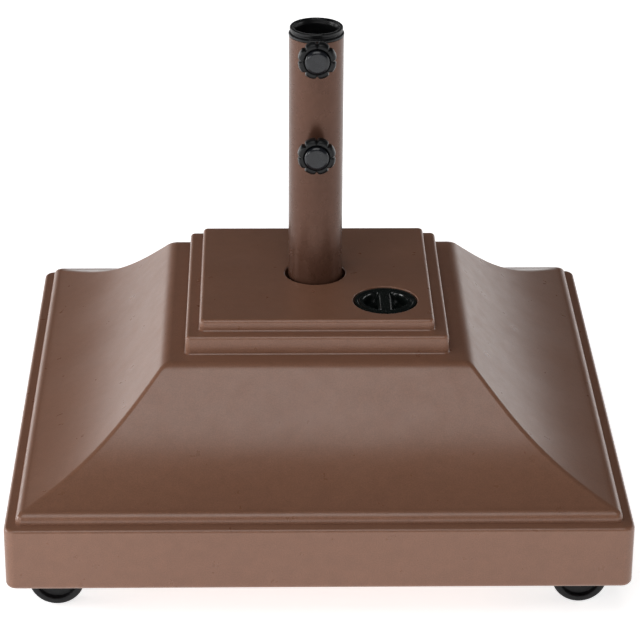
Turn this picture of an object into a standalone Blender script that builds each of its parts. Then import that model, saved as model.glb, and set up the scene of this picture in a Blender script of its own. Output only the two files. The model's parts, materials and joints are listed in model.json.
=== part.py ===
"""Fillable parasol base on four twin-wheel casters.

Metres, +Z up. The floor is z = 0, the front faces -Y and the tube stands on the Z axis.
"""
from math import asin, cos, degrees, pi, radians, sin

import bmesh
import bpy
from mathutils import Matrix, Vector

# ---------------------------------------------------------------- driving dimensions
GAP = 0.0003                      # air between pieces that touch
GROUND_CLEARANCE = 0.0387         # underside of the tank above the floor

# tank outline, heights above its own underside
PLINTH_HALF = 0.2800
PLINTH_HEIGHT = 0.0604
PLINTH_CORNER = 0.0100
PLINTH_TOP_EDGE = 0.0035
PLINTH_BOTTOM_EDGE = 0.0050
BODY_HALF = 0.2700
BODY_CORNER = 0.0060
BEAD_RADIUS = 0.0085
BEAD_HEIGHT = 0.0021
HIP_RADIUS = 0.0030
LEVEL_A_HALF = 0.1405
LEVEL_A_HEIGHT = 0.1562
LEVEL_A_EDGE = 0.0053
STEP_ONE_HALF = 0.1213
STEP_ONE_HEIGHT = 0.1737
STEP_TWO_HALF = 0.1084
STEP_TWO_HEIGHT = 0.1845
STEP_EDGE = 0.0035
STEP_CORNER = 0.0048
COVE_PULL_LOW = (0.2030, 0.0890)   # (half width, height) handles of the cove curve
COVE_PULL_HIGH = (0.1814, 0.1125)
TANK_WALL = 0.0040
TOP_HALF = 0.1280                  # the stepped top is a node of its own inside this square
TOP_SPAN = (GROUND_CLEARANCE + 0.1000, GROUND_CLEARANCE + STEP_TWO_HEIGHT + 0.0100)
FLOOR_HALF = PLINTH_HALF - TANK_WALL - GAP

# tube, its well in the tank and its foot
TUBE_RADIUS = 0.0254
TUBE_WALL = 0.0015
TUBE_TOP = 0.4235
WELL_RADIUS = 0.0287
FOOT_RADIUS = 0.0750
FOOT_THICKNESS = 0.0040
FOOT_RECESS_RADIUS = 0.0790
FOOT_RECESS_DEPTH = 0.0120
FOOT_FLOOR = 0.0160               # the tank's floor is lifted to this over the recess
FOOT_DRAIN_RADIUS = 0.0080
BOLT_CIRCLE = 0.0580
BOLT_SHANK = 0.0039
BOLT_LENGTH = 0.0220
BOLT_HEAD_HEIGHT = 0.0053
BOLT_HEAD_RADIUS = 0.0075
BOLT_BOSS_RADIUS = 0.0110
BOLT_BOSS_TOP = 0.0340
BOLT_ANGLES = (30, 150, 270)

# filler neck and its screw cap
FILLER = (0.0645, -0.0640)
FILLER_HOLE_RADIUS = 0.03025
FILLER_BORE_RADIUS = 0.0242
FILLER_SHOULDER = 0.1720
FILLER_BOTTOM = 0.1600
NECK_RADIUS = 0.0343
CAP_RADIUS = 0.02925
CAP_TOP = 0.1820
CAP_HEAD_BOTTOM = 0.1752
CAP_PLUG_RADIUS = 0.0235
CAP_PLUG_BOTTOM = 0.1630
CAP_BAR_WIDTH = 0.0095
CAP_WELL_RADIUS = 0.0215
CAP_WELL_DEPTH = 0.0090
SEAL_RING_RADIUS = 0.0268
SEAL_SECTION = 0.0013

# collar in the tube's mouth
COLLAR_FLANGE_RADIUS = 0.0257
COLLAR_NECK_RADIUS = 0.0240
COLLAR_RIM_RADIUS = 0.02465
COLLAR_MOUTH_RADIUS = 0.0222
COLLAR_BORE_RADIUS = 0.0195
COLLAR_SLEEVE_RADIUS = 0.0236
COLLAR_SLEEVE_BOTTOM = 0.3800
COLLAR_SLOT_WIDTH = 0.0120
COLLAR_SLOT_TOP = 0.4200

# clamping knobs
KNOB_HEIGHTS = {"upper": 0.4140, "lower": 0.3205}
KNOB_RADIUS = 0.01775
KNOB_LOBES = 8
KNOB_NOTCH = 0.0022
KNOB_BACK = -0.0352
KNOB_FRONT = -0.0480
KNOB_EDGE = 0.0016
KNOB_CAP_RADIUS = 0.01125
KNOB_CAP_FRONT = -0.0515
KNOB_CAP_SEAT = -0.0440
KNOB_CAP_EDGE = 0.0022
STUD_RADIUS = 0.0040
STUD_TIP = -0.0210
STUD_ROOT = -0.0430
WELD_NUT_RADIUS = 0.0095
WELD_NUT_FRONT = -0.0315

# casters, in a frame on the swivel axis with the wheels trailing towards +X
CASTER_INSET = 0.2175             # swivel axes from the middle, both ways
CASTER_TRAIL = 0.0200
POCKET_HALF = 0.0510
POCKET_ROOF = 0.0603              # above the floor
POCKET_PAD = 0.0150               # solid plastic over the pocket, for the screws
POCKET_BLOCK = 0.0550
WHEEL_RADIUS = 0.0254
WHEEL_WIDTH = 0.0160
WHEEL_OFFSET = 0.0145             # middle of each wheel from the middle of the caster
AXLE_RADIUS = 0.0030
AXLE_HALF = 0.0194
BORE_RADIUS = 0.0033
WEB_HALF = 0.0055
COLUMN_HALF = 0.0075
COLUMN_BOTTOM = 0.0270
BOSS_RADIUS = 0.0090
RACE_RADIUS = 0.0155
RACE_BOTTOM = 0.0516
RACE_TOP = 0.0569
KINGPIN_RADIUS = 0.0040
KINGPIN_HEAD_RADIUS = 0.0053
KINGPIN_BOTTOM = 0.0243
PLATE_HALF = 0.0210
PLATE_CORNER = 0.0050
PLATE_BOTTOM = 0.0575
PLATE_TOP = POCKET_ROOF - GAP
PLATE_HOLE_SPACING = 0.0150
SCREW_RADIUS = 0.0020
SCREW_HEAD_RADIUS = 0.0038
SCREW_HEAD_HEIGHT = 0.0020
SCREW_LENGTH = 0.0140
PEDAL_PIVOT = (0.0340, 0.0430)
PEDAL_PIN_RADIUS = 0.0024
PEDAL_PIN_HALF = 0.0051
PEDAL_ARM_HALF = 0.0025
PEDAL_SLOT_HALF = 0.0029
PEDAL_EAR_RADIUS = 0.0045
PEDAL_TREAD = (0.0465, 0.0582)    # nearest and farthest reach of the foot plate
PEDAL_TREAD_LEVELS = (0.0348, 0.0376)
PEDAL_TREAD_HALF = 0.0200

CORNERS = {"front_left": (-1, -1), "front_right": (1, -1),
           "back_left": (-1, 1), "back_right": (1, 1)}
SCREW_PLACES = ((-PLATE_HOLE_SPACING, -PLATE_HOLE_SPACING), (PLATE_HOLE_SPACING, PLATE_HOLE_SPACING))


# ---------------------------------------------------------------- small helpers
def clear_scene():
    for item in list(bpy.data.objects):
        bpy.data.objects.remove(item, do_unlink=True)


def make_material(name, colour, roughness, metallic=0.0):
    material = bpy.data.materials.new(name)
    material.use_nodes = True
    shader = material.node_tree.nodes["Principled BSDF"]
    shader.inputs["Base Color"].default_value = (*colour, 1.0)
    shader.inputs["Roughness"].default_value = roughness
    shader.inputs["Metallic"].default_value = metallic
    material.diffuse_color = (*colour, 1.0)
    return material


def arc(centre, radius, start, end, steps):
    """Points on a circle in a plane, angles in degrees, both ends included."""
    points = []
    for index in range(steps + 1):
        angle = radians(start + (end - start) * index / steps)
        points.append((centre[0] + radius * cos(angle), centre[1] + radius * sin(angle)))
    return points


def bezier(start, pull_start, pull_end, end, steps):
    points = []
    for index in range(steps + 1):
        t = index / steps
        weights = ((1 - t) ** 3, 3 * t * (1 - t) ** 2, 3 * t ** 2 * (1 - t), t ** 3)
        corners = (start, pull_start, pull_end, end)
        points.append(tuple(sum(w * p[k] for w, p in zip(weights, corners)) for k in (0, 1)))
    return points


def finish_mesh(bm, name):
    bmesh.ops.recalc_face_normals(bm, faces=bm.faces)
    mesh = bpy.data.meshes.new(name)
    bm.to_mesh(mesh)
    bm.free()
    mesh.shade_smooth()
    mesh.set_sharp_from_angle(angle=radians(35))
    return mesh


def loft(rings, name):
    """Skin a stack of equal rings and close both ends."""
    bm = bmesh.new()
    rows = [[bm.verts.new(point) for point in ring] for ring in rings]
    count = len(rows[0])
    for low, high in zip(rows, rows[1:]):
        for index in range(count):
            after = (index + 1) % count
            bm.faces.new((low[index], low[after], high[after], high[index]))
    bm.faces.new(reversed(rows[0]))
    bm.faces.new(rows[-1])
    return finish_mesh(bm, name)


def turned(profile, name, segments=24, axis="Z", closed=False):
    """Spin (radius, height) points round the Z axis, or lay the result along Y."""
    bm = bmesh.new()
    verts = [bm.verts.new((radius, 0.0, height)) for radius, height in profile]
    edges = [bm.edges.new(pair) for pair in zip(verts, verts[1:])]
    if closed:
        edges.append(bm.edges.new((verts[-1], verts[0])))
    bmesh.ops.spin(bm, geom=verts + edges, cent=(0, 0, 0), axis=(0, 0, 1),
                   angle=2 * pi, steps=segments, use_merge=True)
    bmesh.ops.remove_doubles(bm, verts=bm.verts, dist=1e-6)
    if axis == "Y":
        bmesh.ops.transform(bm, matrix=Matrix.Rotation(-pi / 2, 4, "X"), verts=bm.verts)
    return finish_mesh(bm, name)


def disc(radius, low, high, name, segments=24, axis="Z"):
    profile = [(0.0, low), (radius, low), (radius, high), (0.0, high)]
    return turned(profile, name, segments, axis)


def prism(outline, low, high, name, axis="Z"):
    """Extrude a flat outline along Z, or an (x, z) outline along Y."""
    bm = bmesh.new()
    if axis == "Z":
        base = [bm.verts.new((x, y, low)) for x, y in outline]
        step = Vector((0, 0, high - low))
    else:
        base = [bm.verts.new((x, low, z)) for x, z in outline]
        step = Vector((0, high - low, 0))
    face = bm.faces.new(base)
    grown = bmesh.ops.extrude_face_region(bm, geom=[face])
    moved = [item for item in grown["geom"] if isinstance(item, bmesh.types.BMVert)]
    bmesh.ops.translate(bm, vec=step, verts=moved)
    return finish_mesh(bm, name)


def box(low, high, name):
    outline = [(low[0], low[1]), (high[0], low[1]), (high[0], high[1]), (low[0], high[1])]
    return prism(outline, low[2], high[2], name)


def rounded_square(half, radius, steps=3):
    """Outline of a square with round corners, counter-clockwise."""
    points = []
    for index, (sx, sy) in enumerate(((1, -1), (1, 1), (-1, 1), (-1, -1))):
        centre = (sx * (half - radius), sy * (half - radius))
        points += arc(centre, radius, 90 * index - 90, 90 * index, steps)
    return points


def helper(mesh, name, offset=(0, 0, 0)):
    """An object that only shapes others."""
    item = bpy.data.objects.new(name, mesh)
    item.location = offset
    bpy.context.scene.collection.objects.link(item)
    return item


def combine(base, changes, name):
    """Join or cut helper objects into one mesh, then remove them."""
    for operation, other in changes:
        modifier = base.modifiers.new(other.name, "BOOLEAN")
        modifier.operation = operation
        modifier.solver = "EXACT"
        modifier.object = other
    graph = bpy.context.evaluated_depsgraph_get()
    graph.update()
    mesh = bpy.data.meshes.new_from_object(base.evaluated_get(graph))
    mesh.name = name
    for item in [base] + [other for _, other in changes]:
        bpy.data.objects.remove(item, do_unlink=True)
    mesh.shade_smooth()
    mesh.set_sharp_from_angle(angle=radians(35))
    return mesh


def place(mesh, name, material, location=(0, 0, 0), parent=None, turn=0.0):
    item = bpy.data.objects.new(name, mesh)
    bpy.context.scene.collection.objects.link(item)
    item.parent = parent
    item.location = location
    item.rotation_euler = (0, 0, turn)
    if not mesh.materials:
        mesh.materials.append(material)
    return item


# ---------------------------------------------------------------- tank
def tank_ring(half, height, corner):
    z = GROUND_CLEARANCE + height
    return [(x, y, z) for x, y in rounded_square(half, corner)]


def outer_outline():
    """(half width, height, corner radius) from the underside up to the top slab."""
    outline = []

    def add(points, section_half, section_corner, least):
        for half, height in points:
            corner = max(section_corner - (section_half - half), least)
            outline.append((half, height, corner))

    edge = PLINTH_BOTTOM_EDGE
    add(arc((PLINTH_HALF - edge, edge), edge, -90, 0, 2), PLINTH_HALF, PLINTH_CORNER, HIP_RADIUS)
    edge = PLINTH_TOP_EDGE
    add(arc((PLINTH_HALF - edge, PLINTH_HEIGHT - edge), edge, 0, 90, 2),
        PLINTH_HALF, PLINTH_CORNER, HIP_RADIUS)
    add([(BODY_HALF, PLINTH_HEIGHT)], BODY_HALF, BODY_CORNER, HIP_RADIUS)
    bead_middle = (BODY_HALF - BEAD_RADIUS, PLINTH_HEIGHT + BEAD_HEIGHT)
    add(arc(bead_middle, BEAD_RADIUS, 0, 90, 4), BODY_HALF, BODY_CORNER, HIP_RADIUS)
    bead_top = (bead_middle[0], bead_middle[1] + BEAD_RADIUS)
    rim = (LEVEL_A_HALF, LEVEL_A_HEIGHT)
    cove = bezier(bead_top, COVE_PULL_LOW, COVE_PULL_HIGH, rim, 10)
    add(cove[1:-1], BODY_HALF, BODY_CORNER, HIP_RADIUS)
    rim_end = (LEVEL_A_HALF - LEVEL_A_EDGE, LEVEL_A_HEIGHT)
    blend = [tuple(0.25 * a + 0.5 * b + 0.25 * c for a, b, c in zip(cove[-2], rim, rim_end))]
    add(blend + [rim_end], BODY_HALF, BODY_CORNER, HIP_RADIUS)
    for half, foot, top in ((STEP_ONE_HALF, LEVEL_A_HEIGHT, STEP_ONE_HEIGHT),
                            (STEP_TWO_HALF, STEP_ONE_HEIGHT, STEP_TWO_HEIGHT)):
        add([(half, foot)], half, STEP_CORNER, HIP_RADIUS)
        add(arc((half - STEP_EDGE, top - STEP_EDGE), STEP_EDGE, 0, 90, 2),
            half, STEP_CORNER, 0.001)
    return outline


def inner_outline():
    """The hollow, one wall thickness inside the outer surface."""
    wall = TANK_WALL
    bead_foot = (BODY_HALF - BEAD_RADIUS, PLINTH_HEIGHT)
    cove = bezier((bead_foot[0], bead_foot[1] + BEAD_HEIGHT + BEAD_RADIUS - wall),
                  (COVE_PULL_LOW[0] - wall, COVE_PULL_LOW[1] - wall),
                  (COVE_PULL_HIGH[0] - wall, COVE_PULL_HIGH[1] - wall),
                  (LEVEL_A_HALF - 1.5 * wall, LEVEL_A_HEIGHT - wall), 6)
    outline = [(PLINTH_HALF - wall, wall), (PLINTH_HALF - wall, PLINTH_HEIGHT - wall),
               (BODY_HALF - wall, PLINTH_HEIGHT - wall), (BODY_HALF - wall, PLINTH_HEIGHT)]
    outline += cove
    outline += [(STEP_ONE_HALF - wall, LEVEL_A_HEIGHT - wall),
                (STEP_ONE_HALF - wall, STEP_ONE_HEIGHT - wall),
                (STEP_TWO_HALF - wall, STEP_ONE_HEIGHT - wall),
                (STEP_TWO_HALF - wall, STEP_TWO_HEIGHT - wall)]
    return [(half, height, HIP_RADIUS) for half, height in outline]


def bolt_places():
    return [(BOLT_CIRCLE * cos(radians(angle)), BOLT_CIRCLE * sin(radians(angle)))
            for angle in BOLT_ANGLES]


def tank_block(half, low, high, name):
    return helper(prism(rounded_square(half, HIP_RADIUS), low, high, name), name)


def tank_levels():
    """Outer skin of the whole moulding, and the hollow that runs out of its underside."""
    inner = inner_outline()
    through = [(inner[0][0], -0.010, HIP_RADIUS)] + inner[1:]
    return (helper(loft([tank_ring(*row) for row in outer_outline()], "tank"), "tank"),
            helper(loft([tank_ring(*row) for row in through], "hollow"), "hollow"))


def build_tank_sides(material):
    """Skirt of the tank: plinth walls, bead, coves and the flat shoulder."""
    skin, hollow = tank_levels()
    mouth = tank_block(TOP_HALF + GAP, *TOP_SPAN, "mouth")
    mesh = combine(skin, [("DIFFERENCE", hollow), ("DIFFERENCE", mouth)], "tank_shell")
    place(mesh, "tank_shell", material)


def build_tank_top(material):
    """Stepped top with its filler neck, and the well that the tube stands in."""
    floor = GROUND_CLEARANCE
    skin, hollow = tank_levels()
    over = floor + STEP_TWO_HEIGHT + 0.010
    changes = [("INTERSECT", tank_block(TOP_HALF, *TOP_SPAN, "top")), ("DIFFERENCE", hollow),
               ("DIFFERENCE", helper(disc(WELL_RADIUS, floor, over, "well", 32), "well")),
               ("DIFFERENCE", helper(disc(FILLER_HOLE_RADIUS, floor, over, "filler", 32),
                                     "filler", (*FILLER, 0)))]
    place(combine(skin, changes, "tank_top"), "tank_top", material)

    ceiling = floor + STEP_TWO_HEIGHT - TANK_WALL - GAP
    well_low = floor + FOOT_FLOOR + GAP
    well = [(WELL_RADIUS, well_low), (WELL_RADIUS + TANK_WALL, well_low),
            (WELL_RADIUS + TANK_WALL, ceiling), (WELL_RADIUS, ceiling)]
    place(turned(well, "tank_well", 32, closed=True), "tank_well", material)
    shoulder = floor + FILLER_SHOULDER
    neck = [(FILLER_BORE_RADIUS, floor + FILLER_BOTTOM), (NECK_RADIUS, floor + FILLER_BOTTOM),
            (NECK_RADIUS, ceiling), (FILLER_HOLE_RADIUS, ceiling),
            (FILLER_HOLE_RADIUS, shoulder), (FILLER_BORE_RADIUS, shoulder)]
    place(turned(neck, "tank_neck", 32, closed=True), "tank_neck", material, (*FILLER, 0))


def pocket_corner(side_x, side_y, reach):
    """Low and high corners of a pocket's block, grown by reach towards the middle."""
    near = CASTER_INSET - POCKET_BLOCK - reach
    far = PLINTH_HALF + 0.010
    xs = sorted((side_x * near, side_x * far))
    ys = sorted((side_y * near, side_y * far))
    return (xs[0], ys[0], 0.0), (xs[1], ys[1], POCKET_ROOF + POCKET_PAD + 0.010)


def build_tank_floor(material):
    """Bottom of the tank, lifted over the foot plate, with bosses for its bolts."""
    floor = GROUND_CLEARANCE
    plate = tank_block(FLOOR_HALF, floor, floor + TANK_WALL, "plate")
    dome = disc(FOOT_RECESS_RADIUS + TANK_WALL, floor, floor + FOOT_FLOOR, "dome")
    changes = [("UNION", helper(dome, "dome"))]
    for place_on in bolt_places():
        mesh = disc(BOLT_BOSS_RADIUS, floor + TANK_WALL, floor + BOLT_BOSS_TOP, "boss", 8)
        changes.append(("UNION", helper(mesh, "boss", (*place_on, 0))))
    recess = disc(FOOT_RECESS_RADIUS, 0.0, floor + FOOT_RECESS_DEPTH + GAP, "recess")
    changes.append(("DIFFERENCE", helper(recess, "recess")))
    changes.append(("DIFFERENCE", helper(disc(WELL_RADIUS, 0.0, 0.1, "well", 32), "well")))
    hole_top = FOOT_RECESS_DEPTH - FOOT_THICKNESS + BOLT_LENGTH + GAP
    for place_on in bolt_places():
        mesh = disc(BOLT_SHANK + 2 * GAP, 0.0, floor + hole_top, "bolt_hole", 8)
        changes.append(("DIFFERENCE", helper(mesh, "bolt_hole", (*place_on, 0))))
    for side in CORNERS.values():
        changes.append(("DIFFERENCE", helper(box(*pocket_corner(*side, GAP), "corner"),
                                             "corner")))
    place(combine(plate, changes, "tank_floor"), "tank_floor", material)


def build_tank_pockets(material):
    """Four blocks in the corners, each with a square pocket that a caster swivels in."""
    for corner, (side_x, side_y) in CORNERS.items():
        block = tank_block(FLOOR_HALF, GROUND_CLEARANCE, POCKET_ROOF + POCKET_PAD, "block")
        middle = (side_x * CASTER_INSET, side_y * CASTER_INSET, 0)
        keep = helper(box(*pocket_corner(side_x, side_y, 0.0), "keep"), "keep")
        half = POCKET_HALF
        pocket = helper(box((-half, -half, 0.0), (half, half, POCKET_ROOF), "pocket"), "pocket",
                        middle)
        changes = [("INTERSECT", keep), ("DIFFERENCE", pocket)]
        for x, y in SCREW_PLACES:
            mesh = disc(SCREW_RADIUS + GAP, PLATE_BOTTOM, PLATE_BOTTOM + SCREW_LENGTH + GAP,
                        "screw_hole", 8)
            changes.append(("DIFFERENCE", helper(mesh, "screw_hole",
                                                 (middle[0] + x, middle[1] + y, 0))))
        name = f"tank_pocket_{corner}"
        place(combine(block, changes, name), name, material)


# ---------------------------------------------------------------- tube and its foot
def build_tube(steel):
    floor = GROUND_CLEARANCE
    bottom = floor + FOOT_RECESS_DEPTH + GAP
    top = floor + TUBE_TOP
    inner = TUBE_RADIUS - TUBE_WALL
    profile = [(inner, bottom), (TUBE_RADIUS, bottom), (TUBE_RADIUS, top), (inner, top)]
    tube = helper(turned(profile, "tube", 32, closed=True), "tube")
    drills = []
    for height in KNOB_HEIGHTS.values():
        mesh = disc(STUD_RADIUS + 2 * GAP, -0.040, 0.0, "stud_hole", 12, axis="Y")
        drills.append(helper(mesh, "stud_hole", (0, 0, floor + height)))
    place(combine(tube, [("DIFFERENCE", drill) for drill in drills], "tube"), "tube", steel)


def build_foot(steel, zinc):
    plate_top = GROUND_CLEARANCE + FOOT_RECESS_DEPTH
    plate_bottom = plate_top - FOOT_THICKNESS
    profile = [(FOOT_DRAIN_RADIUS, plate_bottom), (FOOT_RADIUS, plate_bottom),
               (FOOT_RADIUS, plate_top), (FOOT_DRAIN_RADIUS, plate_top)]
    plate = helper(turned(profile, "foot_plate", 28, closed=True), "foot_plate")
    drills = []
    for place_on in bolt_places():
        mesh = disc(BOLT_SHANK + 2 * GAP, plate_bottom - 0.01, plate_top + 0.01, "hole", 8)
        drills.append(helper(mesh, "hole", (*place_on, 0)))
    mesh = combine(plate, [("DIFFERENCE", drill) for drill in drills], "foot_plate")
    place(mesh, "foot_plate", steel)

    head = helper(disc(BOLT_HEAD_RADIUS, -BOLT_HEAD_HEIGHT, 0.0, "head", 6), "head")
    tip = BOLT_LENGTH - 0.0015
    shank = [(0.0, -BOLT_HEAD_HEIGHT / 2), (BOLT_SHANK, -BOLT_HEAD_HEIGHT / 2),
             (BOLT_SHANK, tip), (BOLT_SHANK / 2, BOLT_LENGTH), (0.0, BOLT_LENGTH)]
    joined = combine(head, [("UNION", helper(turned(shank, "shank", 8), "shank"))], "foot_bolt")
    for index, place_on in enumerate(bolt_places(), start=1):
        place(joined, f"foot_bolt_{index}", zinc, (*place_on, plate_bottom - GAP))


# ---------------------------------------------------------------- collar
def build_collar(material):
    floor = GROUND_CLEARANCE
    seat = TUBE_TOP + GAP
    rim = [(COLLAR_FLANGE_RADIUS, seat), (COLLAR_FLANGE_RADIUS, seat + 0.0022),
           (COLLAR_NECK_RADIUS, seat + 0.0030), (COLLAR_NECK_RADIUS, seat + 0.0040),
           (COLLAR_RIM_RADIUS, seat + 0.0050), (COLLAR_RIM_RADIUS, seat + 0.0072),
           (COLLAR_RIM_RADIUS - 0.0010, seat + 0.0082), (COLLAR_MOUTH_RADIUS, seat + 0.0082),
           (COLLAR_BORE_RADIUS, seat - 0.0010)]
    sleeve = [(COLLAR_BORE_RADIUS, COLLAR_SLEEVE_BOTTOM),
              (COLLAR_SLEEVE_RADIUS, COLLAR_SLEEVE_BOTTOM), (COLLAR_SLEEVE_RADIUS, seat)]
    profile = [(r, floor + z) for r, z in rim + sleeve]
    body = helper(turned(profile, "collar", 24, closed=True), "collar")
    half = COLLAR_SLOT_WIDTH / 2
    slot = helper(box((-half, -0.040, floor + COLLAR_SLEEVE_BOTTOM - 0.01),
                      (half, -0.010, floor + COLLAR_SLOT_TOP), "slot"), "slot")
    place(combine(body, [("DIFFERENCE", slot)], "collar"), "collar", material)


# ---------------------------------------------------------------- knobs
def knob_outline(shrink):
    points = []
    count = KNOB_LOBES * 6
    for index in range(count):
        angle = 2 * pi * index / count
        notch = max(0.0, cos(KNOB_LOBES * angle)) ** 3
        radius = KNOB_RADIUS - shrink - KNOB_NOTCH * notch
        points.append((radius * cos(angle), radius * sin(angle)))
    return points


def build_knobs(plastic, gloss, zinc, steel):
    rings = []
    for shrink, y in ((2 * KNOB_EDGE, KNOB_BACK), (KNOB_EDGE, KNOB_BACK - KNOB_EDGE),
                      (0.0, KNOB_FRONT + 2 * KNOB_EDGE), (KNOB_EDGE, KNOB_FRONT)):
        rings.append([(x, y, z) for x, z in knob_outline(shrink)])
    head = helper(loft(rings, "knob"), "knob")
    seat = helper(disc(KNOB_CAP_RADIUS + GAP, KNOB_CAP_SEAT - 0.02, KNOB_CAP_SEAT, "seat", 24,
                       "Y"), "seat")
    bore = helper(disc(STUD_RADIUS + GAP, STUD_ROOT - GAP, -0.020, "bore", 12, "Y"), "bore")
    head_mesh = combine(head, [("DIFFERENCE", seat), ("DIFFERENCE", bore)], "knob_head")

    cap = [(0.0, KNOB_CAP_SEAT - GAP), (KNOB_CAP_RADIUS, KNOB_CAP_SEAT - GAP)]
    cap += [(KNOB_CAP_RADIUS - KNOB_CAP_EDGE + r, KNOB_CAP_FRONT + KNOB_CAP_EDGE - a)
            for r, a in arc((0, 0), KNOB_CAP_EDGE, 0, 90, 3)]
    cap_mesh = turned(cap + [(0.0, KNOB_CAP_FRONT)], "knob_cap", 24, "Y")
    stud_mesh = turned([(0.0, STUD_ROOT), (STUD_RADIUS, STUD_ROOT),
                        (STUD_RADIUS, STUD_TIP - 0.0008), (STUD_RADIUS - 0.0008, STUD_TIP),
                        (0.0, STUD_TIP)], "knob_stud", 12, "Y")

    nut = helper(disc(WELD_NUT_RADIUS, WELD_NUT_FRONT, -0.015, "nut", 24, "Y"), "nut")
    saddle = helper(disc(TUBE_RADIUS + GAP, -0.02, 0.02, "saddle", 64), "saddle")
    thread = helper(disc(STUD_RADIUS + GAP, -0.04, 0.0, "thread", 12, "Y"), "thread")
    nut_mesh = combine(nut, [("DIFFERENCE", saddle), ("DIFFERENCE", thread)], "weld_nut")

    for name, height in KNOB_HEIGHTS.items():
        centre = (0, 0, GROUND_CLEARANCE + height)
        place(head_mesh, f"knob_{name}_head", plastic, centre)
        place(cap_mesh, f"knob_{name}_centre_cap", gloss, centre)
        place(stud_mesh, f"knob_{name}_stud", zinc, centre)
        place(nut_mesh, f"weld_nut_{name}", steel, centre)


# ---------------------------------------------------------------- filler cap
def build_filler_cap(plastic, rubber):
    floor = GROUND_CLEARANCE
    edge = 0.0010
    profile = [(0.0, CAP_PLUG_BOTTOM), (CAP_PLUG_RADIUS - edge, CAP_PLUG_BOTTOM),
               (CAP_PLUG_RADIUS, CAP_PLUG_BOTTOM + edge), (CAP_PLUG_RADIUS, CAP_HEAD_BOTTOM),
               (CAP_RADIUS, CAP_HEAD_BOTTOM), (CAP_RADIUS, CAP_TOP - edge),
               (CAP_RADIUS - edge, CAP_TOP), (0.0, CAP_TOP)]
    body = helper(turned([(r, floor + z) for r, z in profile], "cap", 32), "cap")
    swing = degrees(asin(CAP_BAR_WIDTH / 2 / CAP_WELL_RADIUS))
    points = arc((0, 0), CAP_WELL_RADIUS, swing - 90, 90 - swing, 8)
    wells = []
    for side in (-1, 1):
        outline = [(side * x, y) for x, y in points]
        mesh = prism(outline, floor + CAP_TOP - CAP_WELL_DEPTH, floor + CAP_TOP + 0.01, "well")
        wells.append(helper(mesh, "well"))
    mesh = combine(body, [("DIFFERENCE", well) for well in wells], "fill_cap")
    place(mesh, "fill_cap", plastic, (*FILLER, 0))

    middle = floor + (FILLER_SHOULDER + CAP_HEAD_BOTTOM) / 2
    ring = arc((SEAL_RING_RADIUS, middle), SEAL_SECTION, 0, 288, 4)
    place(turned(ring, "cap_seal", 20, closed=True), "cap_seal", rubber, (*FILLER, 0))


# ---------------------------------------------------------------- casters
def wheel_mesh():
    """One wheel round Y, its visible face towards +Y, its blind bore towards -Y."""
    half = WHEEL_WIDTH / 2
    rim = WHEEL_RADIUS
    profile = [(0.0, half - 0.0012), (0.0090, half - 0.0012), (0.0105, half - 0.0035),
               (0.0180, half - 0.0035), (0.0195, half), (rim - 0.0018, half),
               (rim, half - 0.0018), (rim, 0.0018 - half), (rim - 0.0018, -half),
               (0.0200, -half), (0.0190, -0.0020), (0.0060, -0.0020), (0.0055, -half),
               (BORE_RADIUS, -half), (BORE_RADIUS, half - 0.0028), (0.0, half - 0.0028)]
    return turned(profile, "wheel", 16, "Y")


def caster_body_mesh():
    """Web between the wheels with the kingpin column, axle boss and pedal ears."""
    side = [(-COLUMN_HALF, RACE_BOTTOM + 0.0005), (-COLUMN_HALF, COLUMN_BOTTOM),
            (COLUMN_HALF, COLUMN_BOTTOM)]
    side += arc((CASTER_TRAIL, WHEEL_RADIUS), BOSS_RADIUS, 200, 340, 6)
    side += arc(PEDAL_PIVOT, PEDAL_EAR_RADIUS, -40, 110, 5)
    side += [(RACE_RADIUS, RACE_BOTTOM + 0.0005)]
    web = helper(prism(side, -WEB_HALF, WEB_HALF, "web", "Y"), "web")
    race = [(0.0, RACE_BOTTOM), (RACE_RADIUS - 0.001, RACE_BOTTOM),
            (RACE_RADIUS, RACE_BOTTOM + 0.001), (RACE_RADIUS, RACE_TOP - 0.001),
            (RACE_RADIUS - 0.001, RACE_TOP), (0.0, RACE_TOP)]
    head = helper(turned(race, "race", 16), "race")
    kingpin = helper(disc(KINGPIN_RADIUS + 2 * GAP, 0.0, 0.07, "kingpin_bore", 10), "kingpin_bore")
    axle = helper(disc(BORE_RADIUS, -0.02, 0.02, "axle_bore", 10, "Y"), "axle_bore",
                  (CASTER_TRAIL, 0, WHEEL_RADIUS))
    pivot = (PEDAL_PIVOT[0], 0, PEDAL_PIVOT[1])
    pin = helper(disc(PEDAL_PIN_RADIUS + GAP, -0.02, 0.02, "pin_bore", 8, "Y"), "pin_bore",
                 pivot)
    slot = helper(box((PEDAL_PIVOT[0] - PEDAL_EAR_RADIUS - GAP, -PEDAL_SLOT_HALF, 0.0330),
                      (0.060, PEDAL_SLOT_HALF, RACE_BOTTOM - 0.001), "slot"), "slot")
    changes = [("UNION", head), ("DIFFERENCE", slot), ("DIFFERENCE", pin),
               ("DIFFERENCE", kingpin), ("DIFFERENCE", axle)]
    return combine(web, changes, "caster_body")


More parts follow.
